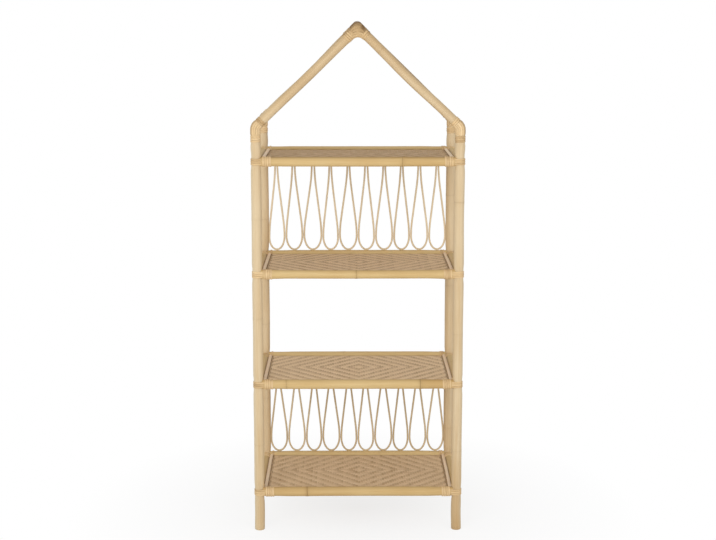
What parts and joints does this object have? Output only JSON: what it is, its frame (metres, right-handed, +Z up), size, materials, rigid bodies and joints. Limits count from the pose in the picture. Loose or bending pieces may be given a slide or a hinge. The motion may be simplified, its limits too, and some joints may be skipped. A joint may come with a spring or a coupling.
{
  "type": "bookshelf",
  "caption": "Free-standing children's bookshelf with a gabled house outline, rattan pole frame bound with peel, woven shelves and back panels of bent loops.",
  "frame": {"origin": "on the floor, in the middle of the four feet", "axes": "+Z up, -Y towards the front, +X to the right as seen from the front"},
  "size_m": [0.5232, 0.3222, 1.2746],
  "materials": {
    "post_rattan": "natural rattan pole with its skin, thin clear varnish",
    "rail_rattan": "natural golden rattan pole with its skin, thin clear varnish",
    "rattan_peel": "half-round rattan peel, satin",
    "woven_mat": "woven rattan peel strips in a diamond twill, satin",
    "trim_rattan": "half-round rattan core, satin",
    "loop_rattan": "bent rattan core, matt",
    "plywood": "bare birch plywood and battens",
    "steel": "plain zinc-coated steel"
  },
  "bodies": {
    "root": {"front_left_post": "post_rattan", "front_left_rafter": "post_rattan", "front_right_post": "post_rattan", "front_right_rafter": "post_rattan", "front_eave_straps": "rattan_peel", "front_eave_windings": "rattan_peel", "front_apex_straps": "rattan_peel", "front_apex_windings": "rattan_peel", "rear_left_post": "post_rattan", "rear_left_rafter": "post_rattan", "rear_right_post": "post_rattan", "rear_right_rafter": "post_rattan", "rear_eave_straps": "rattan_peel", "rear_eave_windings": "rattan_peel", "rear_apex_straps": "rattan_peel", "rear_apex_windings": "rattan_peel", "bottom_shelf_front_rail": "rail_rattan", "bottom_shelf_rear_rail": "rail_rattan", "bottom_shelf_left_rail": "rail_rattan", "bottom_shelf_right_rail": "rail_rattan", "bottom_shelf_board": "plywood", "bottom_shelf_mat": "woven_mat", "bottom_shelf_trims": "trim_rattan", "bottom_shelf_bearers": "plywood", "bottom_shelf_corner_straps": "rattan_peel", "bottom_shelf_rail_windings": "rattan_peel", "lower_shelf_front_rail": "rail_rattan", "lower_shelf_rear_rail": "rail_rattan", "lower_shelf_left_rail": "rail_rattan", "lower_shelf_right_rail": "rail_rattan", "lower_shelf_board": "plywood", "lower_shelf_mat": "woven_mat", "lower_shelf_trims": "trim_rattan", "lower_shelf_bearers": "plywood", "lower_shelf_corner_straps": "rattan_peel", "lower_shelf_rail_windings": "rattan_peel", "upper_shelf_front_rail": "rail_rattan", "upper_shelf_rear_rail": "rail_rattan", "upper_shelf_left_rail": "rail_rattan", "upper_shelf_right_rail": "rail_rattan", "upper_shelf_board": "plywood", "upper_shelf_mat": "woven_mat", "upper_shelf_trims": "trim_rattan", "upper_shelf_bearers": "plywood", "upper_shelf_corner_straps": "rattan_peel", "upper_shelf_rail_windings": "rattan_peel", "top_shelf_front_rail": "rail_rattan", "top_shelf_rear_rail": "rail_rattan", "top_shelf_left_rail": "rail_rattan", "top_shelf_right_rail": "rail_rattan", "top_shelf_board": "plywood", "top_shelf_mat": "woven_mat", "top_shelf_trims": "trim_rattan", "top_shelf_bearers": "plywood", "top_shelf_corner_straps": "rattan_peel", "top_shelf_rail_windings": "rattan_peel", "upper_back_loops": "loop_rattan", "lower_back_loops": "loop_rattan", "frame_screws": "steel", "panel_brads": "steel"}
  },
  "joints": []
}
